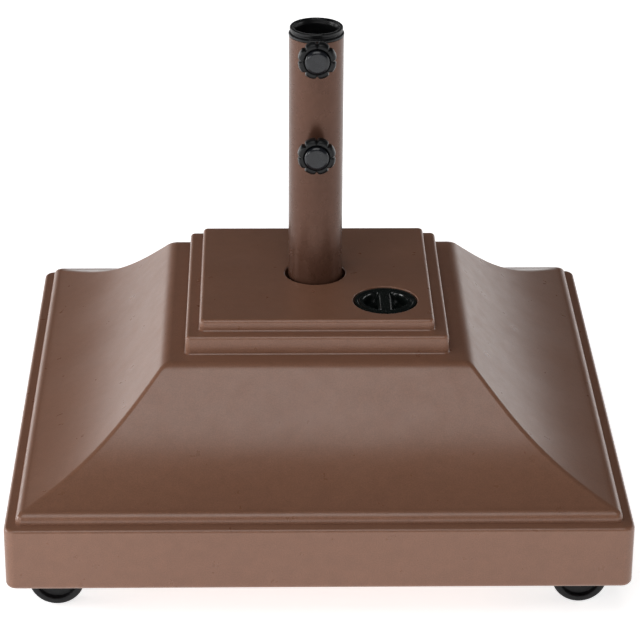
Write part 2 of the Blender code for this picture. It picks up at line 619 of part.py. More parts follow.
def caster_plate_mesh():
    """Top plate with its riveted kingpin."""
    plate = helper(prism(rounded_square(PLATE_HALF, PLATE_CORNER, 2), PLATE_BOTTOM, PLATE_TOP,
                         "plate"), "plate")
    column_foot = COLUMN_BOTTOM - GAP
    pin = [(0.0, KINGPIN_BOTTOM), (KINGPIN_HEAD_RADIUS - 0.001, KINGPIN_BOTTOM),
           (KINGPIN_HEAD_RADIUS, KINGPIN_BOTTOM + 0.001), (KINGPIN_HEAD_RADIUS, column_foot),
           (KINGPIN_RADIUS, column_foot), (KINGPIN_RADIUS, PLATE_BOTTOM + 0.001),
           (0.0, PLATE_BOTTOM + 0.001)]
    changes = [("UNION", helper(turned(pin, "pin", 10), "pin"))]
    for spot in SCREW_PLACES:
        mesh = disc(SCREW_RADIUS + 2 * GAP, PLATE_BOTTOM - 0.01, PLATE_TOP + 0.01, "hole", 8)
        changes.append(("DIFFERENCE", helper(mesh, "hole", (*spot, 0))))
    return combine(plate, changes, "caster_plate")


def pedal_mesh():
    """Brake pedal about its pin: arm between the wheels, foot plate behind them."""
    px, pz = PEDAL_PIVOT
    near, far = PEDAL_TREAD
    low, high = PEDAL_TREAD_LEVELS
    eye = arc((0, 0), PEDAL_EAR_RADIUS - 0.0004, 60, 250, 6)
    arm = eye + [(near - px + 0.002, low - pz), (near - px + 0.002, high - pz)]
    base = helper(prism(arm, -PEDAL_ARM_HALF, PEDAL_ARM_HALF, "arm", "Y"), "arm")
    tread = [(near - px, low - pz), (far - px - 0.001, low - pz), (far - px, low - pz + 0.001),
             (far - px - 0.001, high - pz), (near - px, high - pz)]
    plate = helper(prism(tread, -PEDAL_TREAD_HALF, PEDAL_TREAD_HALF, "tread", "Y"), "tread")
    pin = helper(disc(PEDAL_PIN_RADIUS, -PEDAL_PIN_HALF, PEDAL_PIN_HALF, "pin", 8, "Y"), "pin")
    return combine(base, [("UNION", plate), ("UNION", pin)], "brake_pedal")


def caster_screw_mesh():
    head = SCREW_HEAD_HEIGHT
    profile = [(0.0, -head), (SCREW_HEAD_RADIUS * 0.6, -head), (SCREW_HEAD_RADIUS, -0.3 * head),
               (SCREW_HEAD_RADIUS, 0.0), (SCREW_RADIUS, 0.0), (SCREW_RADIUS, SCREW_LENGTH - 0.003),
               (0.0, SCREW_LENGTH)]
    return turned(profile, "caster_screw", 8)


def build_casters(plastic, tyre, zinc, steel):
    wheel = wheel_mesh()
    body = caster_body_mesh()
    plate = caster_plate_mesh()
    pedal = pedal_mesh()
    screw = caster_screw_mesh()
    axle = disc(AXLE_RADIUS, -AXLE_HALF, AXLE_HALF, "axle", 12, "Y")
    axle_place = (CASTER_TRAIL, 0, WHEEL_RADIUS)
    for corner, (side_x, side_y) in CORNERS.items():
        frame = bpy.data.objects.new(f"caster_{corner}", None)
        bpy.context.scene.collection.objects.link(frame)
        frame.location = (side_x * CASTER_INSET, side_y * CASTER_INSET, 0)
        frame.rotation_euler = (0, 0, 0 if side_x > 0 else pi)
        name = f"caster_{corner}"
        place(plate, f"{name}_plate", zinc, parent=frame)
        place(body, f"{name}_body", plastic, parent=frame)
        place(axle, f"{name}_axle", steel, axle_place, frame)
        for label, world_side in (("front", -1), ("back", 1)):
            local_side = world_side * side_x
            location = (CASTER_TRAIL, local_side * WHEEL_OFFSET, WHEEL_RADIUS)
            place(wheel, f"{name}_wheel_{label}", tyre, location, frame,
                  0 if local_side > 0 else pi)
        place(pedal, f"{name}_brake_pedal", plastic, (PEDAL_PIVOT[0], 0, PEDAL_PIVOT[1]), frame)
        for index, spot in enumerate(SCREW_PLACES, start=1):
            place(screw, f"{name}_screw_{index}", zinc, (*spot, PLATE_BOTTOM - GAP), frame)


# ---------------------------------------------------------------- the whole base
def main():
    clear_scene()
    brown_plastic = make_material("brown_plastic", (0.105, 0.060, 0.046), 0.42)
    brown_paint = make_material("brown_powder_coat", (0.095, 0.055, 0.043), 0.38)
    black_plastic = make_material("black_plastic", (0.012, 0.012, 0.013), 0.40)
    gloss_black = make_material("black_knob_cap", (0.016, 0.017, 0.020), 0.25)
    black_rubber = make_material("black_seal", (0.010, 0.010, 0.010), 0.70)
    black_wheel = make_material("black_wheel", (0.014, 0.014, 0.015), 0.45)
    zinc = make_material("zinc_plated_steel", (0.55, 0.55, 0.56), 0.35, 1.0)
    build_tank_sides(brown_plastic)
    build_tank_top(brown_plastic)
    build_tank_floor(brown_plastic)
    build_tank_pockets(brown_plastic)
    build_tube(brown_paint)
    build_foot(brown_paint, zinc)
    build_collar(black_plastic)
    build_knobs(black_plastic, gloss_black, zinc, brown_paint)
    build_filler_cap(black_plastic, black_rubber)
    build_casters(black_plastic, black_wheel, zinc, zinc)


main()
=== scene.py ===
"""Looks of the fillable parasol base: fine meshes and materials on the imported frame."""
import json
from math import cos, pi, radians, sin, sqrt

import bmesh
import bpy
from mathutils import Matrix, Vector, noise

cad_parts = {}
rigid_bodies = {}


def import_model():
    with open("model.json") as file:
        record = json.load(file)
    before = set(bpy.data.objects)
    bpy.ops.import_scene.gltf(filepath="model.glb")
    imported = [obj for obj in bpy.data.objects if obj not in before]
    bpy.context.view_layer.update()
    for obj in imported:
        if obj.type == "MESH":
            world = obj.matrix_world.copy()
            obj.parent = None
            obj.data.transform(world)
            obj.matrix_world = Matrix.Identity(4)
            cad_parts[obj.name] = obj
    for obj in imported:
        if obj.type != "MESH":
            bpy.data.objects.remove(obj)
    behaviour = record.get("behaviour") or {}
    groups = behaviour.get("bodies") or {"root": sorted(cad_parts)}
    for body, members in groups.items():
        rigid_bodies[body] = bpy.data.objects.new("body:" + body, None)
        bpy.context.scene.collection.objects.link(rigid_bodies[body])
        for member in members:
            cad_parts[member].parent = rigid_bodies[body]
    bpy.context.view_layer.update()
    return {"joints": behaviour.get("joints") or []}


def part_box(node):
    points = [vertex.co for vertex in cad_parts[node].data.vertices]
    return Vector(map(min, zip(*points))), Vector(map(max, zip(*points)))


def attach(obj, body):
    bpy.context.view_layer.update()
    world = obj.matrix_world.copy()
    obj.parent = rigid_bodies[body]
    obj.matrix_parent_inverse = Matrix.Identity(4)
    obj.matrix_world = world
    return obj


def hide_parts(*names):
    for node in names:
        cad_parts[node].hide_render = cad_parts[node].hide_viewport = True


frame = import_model()

# ---------------------------------------------------------------- sizes taken from the frame
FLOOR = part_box("tank_floor")[0].z           # height of the tank's underside above the ground
PLINTH_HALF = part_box("tank_shell")[1].x
SLAB_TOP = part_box("tank_top")[1].z - FLOOR
TUBE_LOW, TUBE_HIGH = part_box("tube")
TUBE_RADIUS = TUBE_HIGH.x
TUBE_TOP = TUBE_HIGH.z - FLOOR
JOINTS = {joint["name"]: joint for joint in frame["joints"]}
CAP_SPOT = Vector(JOINTS["cap_turn"]["pos_m"])
CORNERS = {"front_left": (-1, -1), "front_right": (1, -1),
           "back_left": (-1, 1), "back_right": (1, 1)}

# tank outline, heights above its underside
PLINTH_HEIGHT = 0.0604
PLINTH_CORNER = 0.0100
BODY_HALF = 0.2700
BODY_CORNER = 0.0065
BEAD_RADIUS = 0.0085
BEAD_HEIGHT = 0.0021
HIP_RADIUS = 0.0042
LEVEL_A_HALF = 0.1405
LEVEL_A_HEIGHT = 0.1562
LEVEL_A_EDGE = 0.0060
STEP_ONE_HALF = 0.1213
STEP_ONE_HEIGHT = 0.1737
STEP_TWO_HALF = 0.1084
STEP_EDGE = 0.0035
STEP_CORNER = 0.0048
COVE_PULL_LOW = (0.2030, 0.0890)
COVE_PULL_HIGH = (0.1814, 0.1125)
WELL_RADIUS = 0.0287
FOOT_RECESS_RADIUS = 0.0790
FOOT_RECESS_DEPTH = 0.0123
FILLER_HOLE_RADIUS = 0.03025
FILLER_BORE_RADIUS = 0.0242
FILLER_SHOULDER = 0.1720
POCKET_HALF = 0.0510
POCKET_CORNER = 0.0070
POCKET_ROOF = 0.0603                        # above the ground, as all caster heights are

# tube, foot bolts and collar, heights above the tank's underside
TUBE_WALL = 0.0015
STUD_DRILL_RADIUS = 0.0046
FOOT_DRAIN_RADIUS = 0.0080
BOLT_DRILL_RADIUS = 0.0045
BOLT_HEX_RADIUS = 0.0075
BOLT_FLANGE_RADIUS = 0.0074
BOLT_CREST, BOLT_ROOT, BOLT_PITCH = 0.0039, 0.0032, 0.0020
COLLAR_BORE = 0.0195
COLLAR_SLEEVE = 0.0236
COLLAR_NECK = 0.0238
COLLAR_RIM = 0.02465
COLLAR_FLANGE = 0.0257
COLLAR_SLOT_HALF = 0.0060
COLLAR_SLOT_TOP = 0.4200

# knobs
KNOB_HEIGHTS = {"upper": 0.4140, "lower": 0.3205}
KNOB_LOBES = 8
KNOB_NOTCH = 0.0021
KNOB_SEAT = 0.0116                          # radius of the recess that holds the centre cap
STUD_HOLE_RADIUS = 0.0043
STUD_CREST, STUD_ROOT, STUD_PITCH = 0.0040, 0.0034, 0.00125

# filler cap, heights above the tank's underside
CAP_TOP = 0.1838                            # the cap sits almost flush in its hole
CAP_SEAT = 0.1752
CAP_RADIUS = 0.02925
CAP_FACE_RADIUS = 0.0232                    # inside the shallow ring round the face
PLUG_RADIUS = 0.0235
PLUG_PITCH = 0.0040
PLUG_THREAD_DEPTH = 0.0010
FINGER_RADIUS = 0.0208
FINGER_DEPTH = 0.0090
FINGER_BAR_HALF = 0.0039

# casters, distances from the swivel axis and heights above the ground
TRAIL = 0.0200
PEDAL_PIN = (0.0340, 0.0430)
AXLE_RADIUS = 0.0030
AXLE_HALF = 0.0194
PLATE_LOW, PLATE_HIGH = 0.0575, 0.0600
SCREW_PLACES = ((-0.0150, -0.0150), (0.0150, 0.0150))
SCREW_SEAT = 0.0572
SCREW_LENGTH = 0.0140
SCREW_CREST, SCREW_ROOT, SCREW_PITCH = 0.0020, 0.0014, 0.0016

CUT_PAST = 0.01                             # how far a cutter reaches past the material
SMOOTH_ANGLE = radians(32)


# ---------------------------------------------------------------- shape helpers
def arc(centre, radius, start, end, steps):
    points = []
    for index in range(steps + 1):
        angle = radians(start + (end - start) * index / steps)
        points.append((centre[0] + radius * cos(angle), centre[1] + radius * sin(angle)))
    return points


def bezier(start, pull_start, pull_end, end, steps):
    points = []
    for index in range(steps + 1):
        t = index / steps
        weights = ((1 - t) ** 3, 3 * t * (1 - t) ** 2, 3 * t ** 2 * (1 - t), t ** 3)
        corners = (start, pull_start, pull_end, end)
        points.append(tuple(sum(w * p[k] for w, p in zip(weights, corners)) for k in (0, 1)))
    return points


def soften(points, radius, steps=4):
    """Round every inner corner of an open (radius, height) outline."""
    result = [points[0]]
    for before, corner, after in zip(points, points[1:], points[2:]):
        corner_v = Vector(corner)
        into, out = Vector(before) - corner_v, Vector(after) - corner_v
        cut = min(radius, 0.45 * into.length, 0.45 * out.length)
        start = corner_v + into.normalized() * cut
        end = corner_v + out.normalized() * cut
        for index in range(steps + 1):
            t = index / steps
            point = (1 - t) ** 2 * start + 2 * t * (1 - t) * corner_v + t ** 2 * end
            result.append(tuple(point))
    return result + [points[-1]]


def rounded_square(half, radius, steps):
    points = []
    for index, (sx, sy) in enumerate(((1, -1), (1, 1), (-1, 1), (-1, -1))):
        centre = (sx * (half - radius), sy * (half - radius))
        points += arc(centre, radius, 90 * index - 90, 90 * index, steps)
    return points


def finish_mesh(bm, name):
    bmesh.ops.recalc_face_normals(bm, faces=bm.faces)
    mesh = bpy.data.meshes.new(name)
    bm.to_mesh(mesh)
    bm.free()
    return mesh


def loft(rings, name, capped=True, looped=False):
    bm = bmesh.new()
    rows = [[bm.verts.new(point) for point in ring] for ring in rings]
    count = len(rows[0])
    pairs = list(zip(rows, rows[1:]))
    if looped:
        pairs.append((rows[-1], rows[0]))
    for low, high in pairs:
        for index in range(count):
            after = (index + 1) % count
            bm.faces.new((low[index], low[after], high[after], high[index]))
    if capped:
        bm.faces.new(reversed(rows[0]))
        bm.faces.new(rows[-1])
    return finish_mesh(bm, name)


def turned(profile, name, segments=96, axis="Z", closed=False):
    """Spin (radius, height) points round Z, or lay the result along Y."""
    bm = bmesh.new()
    verts = [bm.verts.new((radius, 0.0, height)) for radius, height in profile]
    edges = [bm.edges.new(pair) for pair in zip(verts, verts[1:])]
    if closed:
        edges.append(bm.edges.new((verts[-1], verts[0])))
    bmesh.ops.spin(bm, geom=verts + edges, cent=(0, 0, 0), axis=(0, 0, 1),
                   angle=2 * pi, steps=segments, use_merge=True)
    bmesh.ops.remove_doubles(bm, verts=bm.verts, dist=1e-6)
    if axis == "Y":
        bmesh.ops.transform(bm, matrix=Matrix.Rotation(-pi / 2, 4, "X"), verts=bm.verts)
    return finish_mesh(bm, name)


def prism(outline, low, high, name, axis="Z"):
    bm = bmesh.new()
    if axis == "Z":
        base = [bm.verts.new((x, y, low)) for x, y in outline]
        step = Vector((0, 0, high - low))
    else:
        base = [bm.verts.new((x, low, z)) for x, z in outline]
        step = Vector((0, high - low, 0))
    face = bm.faces.new(base)
    grown = bmesh.ops.extrude_face_region(bm, geom=[face])
    moved = [item for item in grown["geom"] if isinstance(item, bmesh.types.BMVert)]
    bmesh.ops.translate(bm, vec=step, verts=moved)
    return finish_mesh(bm, name)


def disc(radius, low, high, name, segments=64, axis="Z"):
    return turned([(0.0, low), (radius, low), (radius, high), (0.0, high)], name, segments, axis)


def link(mesh, name, offset=(0, 0, 0)):
    item = bpy.data.objects.new(name, mesh)
    item.location = offset
    bpy.context.scene.collection.objects.link(item)
    return item


def combine(base, changes):
    """Join or cut temporary objects into the base object's mesh, then remove them."""
    for operation, other in changes:
        modifier = base.modifiers.new(other.name, "BOOLEAN")
        modifier.operation = operation
        modifier.solver = "EXACT"
        modifier.object = other
    apply_modifiers(base)
    for _, other in changes:
        bpy.data.objects.remove(other, do_unlink=True)
    return base


def apply_modifiers(item):
    graph = bpy.context.evaluated_depsgraph_get()
    graph.update()
    mesh = bpy.data.meshes.new_from_object(item.evaluated_get(graph))
    item.modifiers.clear()
    item.data = mesh
    return item


def bevel(item, width, segments=3, angle=35):
    modifier = item.modifiers.new("edges", "BEVEL")
    modifier.width = width
    modifier.segments = segments
    modifier.limit_method = "ANGLE"
    modifier.angle_limit = radians(angle)
    modifier.use_clamp_overlap = True
    return apply_modifiers(item)


def shade(item):
    item.data.shade_smooth()
    item.data.set_sharp_from_angle(angle=SMOOTH_ANGLE)
    modifier = item.modifiers.new("flat faces", "WEIGHTED_NORMAL")
    modifier.keep_sharp = True
    return item


def show(item, body, nodes, material):
    """Dress a finished piece: it rides on a body and stands for CAD nodes."""
    item.data.materials.clear()
    item.data.materials.append(material)
    shade(item)
    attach(item, body)
    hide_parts(*nodes)
    return item


# ---------------------------------------------------------------- materials
class Nodes:
    """Short names for building a node tree."""

    def __init__(self, name):
        self.material = bpy.data.materials.new(name)
        self.material.use_nodes = True
        self.tree = self.material.node_tree
        self.shader = self.tree.nodes["Principled BSDF"]
        self.place = self.tree.nodes.new("ShaderNodeTexCoord").outputs["Object"]

    def noise(self, scale, detail=2.0, rough=0.5, stretch=None, distortion=0.0):
        node = self.tree.nodes.new("ShaderNodeTexNoise")
        node.inputs["Scale"].default_value = scale
        node.inputs["Detail"].default_value = detail
        node.inputs["Roughness"].default_value = rough
        node.inputs["Distortion"].default_value = distortion
        source = self.place
        if stretch:
            mapping = self.tree.nodes.new("ShaderNodeMapping")
            mapping.inputs["Scale"].default_value = stretch
            self.tree.links.new(self.place, mapping.inputs["Vector"])
            source = mapping.outputs["Vector"]
        self.tree.links.new(source, node.inputs["Vector"])
        return node.outputs["Fac"]

    def ramp(self, value, stops):
        node = self.tree.nodes.new("ShaderNodeValToRGB")
        elements = node.color_ramp.elements
        while len(elements) < len(stops):
            elements.new(0.5)
        for element, (position, colour) in zip(elements, stops):
            element.position = position
            element.color = (*colour, 1.0) if len(colour) == 3 else colour
        self.tree.links.new(value, node.inputs["Fac"])
        return node.outputs["Color"]

    def span(self, value, low, high, from_low=0.3, from_high=0.7):
        node = self.tree.nodes.new("ShaderNodeMapRange")
        node.inputs["From Min"].default_value = from_low
        node.inputs["From Max"].default_value = from_high
        node.inputs["To Min"].default_value = low
        node.inputs["To Max"].default_value = high
        self.tree.links.new(value, node.inputs["Value"])
        return node.outputs["Result"]

    def mix(self, amount, first, second, blend="MIX"):
        """Inputs 6 and 7 and output 2 are the node's colour sockets."""
        node = self.tree.nodes.new("ShaderNodeMix")
        node.data_type = "RGBA"
        node.blend_type = blend
        for socket, value in ((node.inputs["Factor"], amount), (node.inputs[6], first),
                              (node.inputs[7], second)):
            if isinstance(value, (int, float)):
                socket.default_value = value
            elif isinstance(value, tuple):
                socket.default_value = (*value, 1.0)
            else:
                self.tree.links.new(value, socket)
        return node.outputs[2]

    def bump(self, height, strength, distance, previous=None):
        node = self.tree.nodes.new("ShaderNodeBump")
        node.inputs["Strength"].default_value = strength
        node.inputs["Distance"].default_value = distance
        self.tree.links.new(height, node.inputs["Height"])
        if previous is not None:
            self.tree.links.new(previous, node.inputs["Normal"])
        return node.outputs["Normal"]

    def feed(self, socket, value):
        if isinstance(value, (int, float, tuple)):
            self.shader.inputs[socket].default_value = value
        else:
            self.tree.links.new(value, self.shader.inputs[socket])


def tank_plastic():
    """Satin brown polyethylene: mottled colour, fine grain and slight moulding waves."""
    n = Nodes("brown_polyethylene")
    cloud = n.ramp(n.noise(7.0, 3.0, 0.55), [(0.30, (0.212, 0.1005, 0.0620)),
                                             (0.70, (0.226, 0.1080, 0.0665))])
    mottle = n.ramp(n.noise(95.0, 4.0, 0.62), [(0.34, (0.95, 0.95, 0.95)),
                                               (0.66, (1.03, 1.03, 1.03))])
    speck = n.ramp(n.noise(950.0, 2.0, 0.5), [(0.36, (0.90, 0.90, 0.90)),
                                              (0.64, (1.08, 1.08, 1.08))])
    colour = n.mix(1.0, n.mix(1.0, cloud, mottle, "MULTIPLY"), speck, "MULTIPLY")
    n.feed("Base Color", colour)
    n.feed("Roughness", n.span(n.noise(60.0, 4.0, 0.6), 0.27, 0.35))
    waves = n.bump(n.noise(9.0, 1.0, 0.4), 0.35, 0.004)
    pits = n.bump(n.noise(420.0, 2.0, 0.5), 0.10, 0.0005, waves)
    grain = n.bump(n.noise(1100.0, 2.0, 0.5), 0.16, 0.00022, pits)
    n.feed("Normal", grain)
    n.feed("Specular IOR Level", 0.5)
    return n.material


def tube_paint():
    """Bronze powder coat on steel: fine orange peel and a soft metallic glow."""
    n = Nodes("bronze_powder_coat")
    colour = n.ramp(n.noise(160.0, 4.0, 0.6), [(0.35, (0.092, 0.042, 0.026)),
                                               (0.65, (0.102, 0.047, 0.030))])
    n.feed("Base Color", colour)
    n.feed("Metallic", 0.35)
    n.feed("Roughness", n.span(n.noise(90.0, 3.0, 0.6), 0.25, 0.32))
    n.feed("Specular IOR Level", 0.30)
    peel = n.bump(n.noise(420.0, 2.0, 0.5), 0.10, 0.0004)
    n.feed("Normal", n.bump(n.noise(1500.0, 2.0, 0.5), 0.06, 0.0002, peel))
    return n.material


def black_plastic(name, colour, rough_low, rough_high, shine, grain=0.16):
    """Moulded black plastic; grain is the strength of the finest bumps."""
    n = Nodes(name)
    dark = tuple(0.75 * part for part in colour)
    light = tuple(1.35 * part for part in colour)
    n.feed("Base Color", n.ramp(n.noise(140.0, 4.0, 0.6), [(0.35, dark), (0.65, light)]))
    n.feed("Specular IOR Level", shine)
    n.feed("Roughness", n.span(n.noise(220.0, 3.0, 0.6), rough_low, rough_high))
    coarse = n.bump(n.noise(260.0, 2.0, 0.5), 0.6 * grain, 0.0005)
    n.feed("Normal", n.bump(n.noise(1700.0, 2.0, 0.5), grain, 0.0002, coarse))
    return n.material


def wheel_plastic():
    """Black nylon, scuffed a little lighter where it rolls."""
    n = Nodes("black_nylon")
    base = n.ramp(n.noise(120.0, 4.0, 0.6), [(0.35, (0.006, 0.006, 0.007)),
                                             (0.65, (0.011, 0.011, 0.012))])
    scuff = n.ramp(n.noise(480.0, 5.0, 0.7, distortion=0.6), [(0.56, (0, 0, 0)),
                                                             (0.70, (0.012, 0.011, 0.010))])
    n.feed("Specular IOR Level", 0.26)
    n.feed("Base Color", n.mix(1.0, base, scuff, "ADD"))
    n.feed("Roughness", n.span(n.noise(300.0, 4.0, 0.65), 0.30, 0.52))
    n.feed("Normal", n.bump(n.noise(900.0, 3.0, 0.55), 0.14, 0.0003))
    return n.material


def zinc_steel():
    """Bright zinc plating with a faint cloudy tint and rolling marks."""
    n = Nodes("zinc_plated")
    n.feed("Base Color", n.ramp(n.noise(75.0, 5.0, 0.65), [(0.30, (0.47, 0.47, 0.46)),
                                                           (0.70, (0.64, 0.65, 0.67))]))
    n.feed("Metallic", 1.0)
    n.feed("Roughness", n.span(n.noise(260.0, 5.0, 0.7), 0.24, 0.44))
    n.feed("Normal", n.bump(n.noise(500.0, 3.0, 0.6, stretch=(1, 6, 1)), 0.10, 0.0002))
    return n.material


def rubber():
    """Dull black rubber."""
    n = Nodes("black_rubber")
    n.feed("Base Color", n.ramp(n.noise(200.0, 3.0, 0.6), [(0.3, (0.010, 0.010, 0.010)),
                                                           (0.7, (0.019, 0.018, 0.018))]))
    n.feed("Roughness", n.span(n.noise(400.0, 3.0, 0.6), 0.62, 0.80))
    n.feed("Normal", n.bump(n.noise(1200.0, 2.0, 0.5), 0.15, 0.0002))
    return n.material


BROWN = tank_plastic()
PAINT = tube_paint()
BLACK = black_plastic("black_moulding", (0.0060, 0.0062, 0.0066), 0.26, 0.38, 0.24)
GLOSS = black_plastic("black_cap_gloss", (0.0085, 0.0095, 0.0120), 0.16, 0.24, 0.42, 0.06)
POLISHED = black_plastic("black_cap_polished", (0.0050, 0.0068, 0.0060), 0.15, 0.22, 0.40,
                         0.06)
NYLON = wheel_plastic()
ZINC = zinc_steel()
SEAL = rubber()


# ---------------------------------------------------------------- tank
def tank_outline():
    """(half width, height, corner radius) from the underside up to the top slab."""
    outline = []

    def add(points, section_half, section_corner, least=HIP_RADIUS):
        for half, height in points:
            corner = max(section_corner - (section_half - half), least)
            outline.append((half, height, corner))

    bottom, top = 0.0050, 0.0035
    add(arc((PLINTH_HALF - bottom, bottom), bottom, -90, 0, 7), PLINTH_HALF, PLINTH_CORNER)
    add(arc((PLINTH_HALF - top, PLINTH_HEIGHT - top), top, 0, 90, 6), PLINTH_HALF, PLINTH_CORNER)
    add([(BODY_HALF, PLINTH_HEIGHT)], BODY_HALF, BODY_CORNER)
    bead = (BODY_HALF - BEAD_RADIUS, PLINTH_HEIGHT + BEAD_HEIGHT)
    add(arc(bead, BEAD_RADIUS, 0, 90, 12), BODY_HALF, BODY_CORNER)
    rim = (LEVEL_A_HALF, LEVEL_A_HEIGHT)
    cove = bezier((bead[0], bead[1] + BEAD_RADIUS), COVE_PULL_LOW, COVE_PULL_HIGH, rim, 48)
    start = cove[-3]
    add(cove[1:-2], BODY_HALF, BODY_CORNER)
    end = (LEVEL_A_HALF - LEVEL_A_EDGE, LEVEL_A_HEIGHT)
    for index in range(1, 7):
        t = index / 6
        add([tuple((1 - t) ** 2 * a + 2 * t * (1 - t) * b + t ** 2 * c
                   for a, b, c in zip(start, rim, end))], BODY_HALF, BODY_CORNER)
    for half, foot, top_height in ((STEP_ONE_HALF, LEVEL_A_HEIGHT, STEP_ONE_HEIGHT),
                                   (STEP_TWO_HALF, STEP_ONE_HEIGHT, SLAB_TOP)):
        add([(half + 0.0008, foot), (half, foot + 0.0008)], half, STEP_CORNER)
        add(arc((half - STEP_EDGE, top_height - STEP_EDGE), STEP_EDGE, 0, 90, 6),
            half, STEP_CORNER, 0.0013)
    return outline


def build_tank():
    """The whole moulding in one piece, cut for the tube, the filler, the foot and the casters."""
    rings = []
    for half, height, corner in tank_outline():
        rings.append([(x, y, FLOOR + height) for x, y in rounded_square(half, corner, 8)])
    tank = link(loft(rings, "tank"), "tank_visual")
    top = FLOOR + SLAB_TOP
    lip = 0.0016
    below, above = FLOOR - CUT_PAST, top + CUT_PAST
    well = [(0.0, below), (WELL_RADIUS, below), (WELL_RADIUS, top - lip)]
    well += arc((WELL_RADIUS + lip, top - lip), lip, 180, 90, 5)
    well += [(WELL_RADIUS + lip, above), (0.0, above)]
    edge = 0.0010
    shoulder = FLOOR + FILLER_SHOULDER
    neck_low = FLOOR + FILLER_SHOULDER - 0.060
    neck = [(0.0, neck_low), (FILLER_BORE_RADIUS, neck_low), (FILLER_BORE_RADIUS, shoulder),
            (FILLER_HOLE_RADIUS, shoulder), (FILLER_HOLE_RADIUS, top - edge)]
    neck += arc((FILLER_HOLE_RADIUS + edge, top - edge), edge, 180, 90, 4)
    neck += [(FILLER_HOLE_RADIUS + edge, above), (0.0, above)]
    recess_roof = FLOOR + FOOT_RECESS_DEPTH
    recess = [(0.0, below), (FOOT_RECESS_RADIUS + lip, below)]
    recess += arc((FOOT_RECESS_RADIUS + lip, FLOOR + lip), lip, 270, 180, 4)
    recess += [(FOOT_RECESS_RADIUS, recess_roof), (0.0, recess_roof)]
    cutters = [link(turned(well, "well", 96), "well"),
               link(turned(neck, "neck", 96), "neck", (CAP_SPOT.x, CAP_SPOT.y, 0)),
               link(turned(recess, "recess", 96), "recess")]
    for corner in CORNERS:
        pivot = JOINTS[f"caster_{corner}_swivel"]["pos_m"]
        pocket = [(POCKET_HALF + lip, below)]
        pocket += arc((POCKET_HALF + lip, FLOOR + lip), lip, 270, 180, 4)
        pocket += [(POCKET_HALF, POCKET_ROOF)]
        rings = []
        for half, z in pocket:
            rings.append([(x, y, z) for x, y in rounded_square(half, POCKET_CORNER, 6)])
        cutters.append(link(loft(rings, "pocket"), "pocket", (pivot[0], pivot[1], 0)))
    combine(tank, [("DIFFERENCE", cutter) for cutter in cutters])
    parts = ["tank_shell", "tank_floor", "tank_top", "tank_well", "tank_neck"]
    parts += [f"tank_pocket_{corner}" for corner in CORNERS]
    show(tank, "root", parts, BROWN)


# ---------------------------------------------------------------- tube, foot and weld nuts
def build_tube():
    """Steel tube with rounded ends and a hole for each knob's stud."""
    low, high = TUBE_LOW.z, TUBE_HIGH.z
    inner = TUBE_RADIUS - TUBE_WALL
    round_end = 0.0005
    profile = soften([(inner, (low + high) / 2), (inner, low), (TUBE_RADIUS, low),
                      (TUBE_RADIUS, high), (inner, high), (inner, (low + high) / 2)],
                     round_end, 3)[:-1]
    tube = link(turned(profile, "tube", 128, closed=True), "tube_visual")
    drills = []
    for height in KNOB_HEIGHTS.values():
        drills.append(link(disc(STUD_DRILL_RADIUS, -0.040, 0.0, "drill", 32, "Y"), "drill",
                           (0, 0, FLOOR + height)))
    combine(tube, [("DIFFERENCE", drill) for drill in drills])
    show(tube, "root", ["tube"], PAINT)


def weld_bead(height, radius, thickness, seed):
    """Rippled bead where the round nut meets the tube."""
    rings = []
    turns = 96
    for index in range(turns):
        angle = 2 * pi * index / turns
        x, z = radius * cos(angle), radius * sin(angle)
        middle = Vector((x, -sqrt(TUBE_RADIUS ** 2 - x ** 2) - 0.0002, z + FLOOR + height))
        outward = Vector((cos(angle), 0, sin(angle)))
        ripple = 1 + 0.10 * sin(angle * 22) + 0.12 * noise.noise((x * 300, z * 300, seed))
        ring = []
        for step in range(8):
            turn = 2 * pi * step / 8
            offset = outward * cos(turn) + Vector((0, -1, 0)) * sin(turn)
            ring.append(tuple(middle + offset * thickness * ripple))
        rings.append(ring)
    return loft(rings, "weld_bead", capped=False, looped=True)


def build_weld_nuts():
    """Round bosses, cut to sit on the tube, each with its weld bead."""
    for index, (name, height) in enumerate(KNOB_HEIGHTS.items()):
        low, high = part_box(f"weld_nut_{name}")
        radius = (high.x - low.x) / 2
        front = low.y
        bore, inside = 0.0044, -0.015
        profile = soften([(bore, inside), (radius, inside), (radius, front), (bore, front),
                          (bore, inside)], 0.0007, 4)[:-1]
        nut = link(turned(profile, "nut", 72, "Y", closed=True), f"weld_nut_{name}_visual",
                   (0, 0, FLOOR + height))
        saddle = link(disc(TUBE_RADIUS + 0.0002, 0.2, 0.6, "saddle", 128), "saddle")
        combine(nut, [("DIFFERENCE", saddle)])
        show(nut, "root", [f"weld_nut_{name}"], PAINT)
        bead = link(weld_bead(height, radius, 0.0013, index), f"weld_bead_{name}")
        bead.data.materials.append(PAINT)
        shade(bead)
        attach(bead, "root")


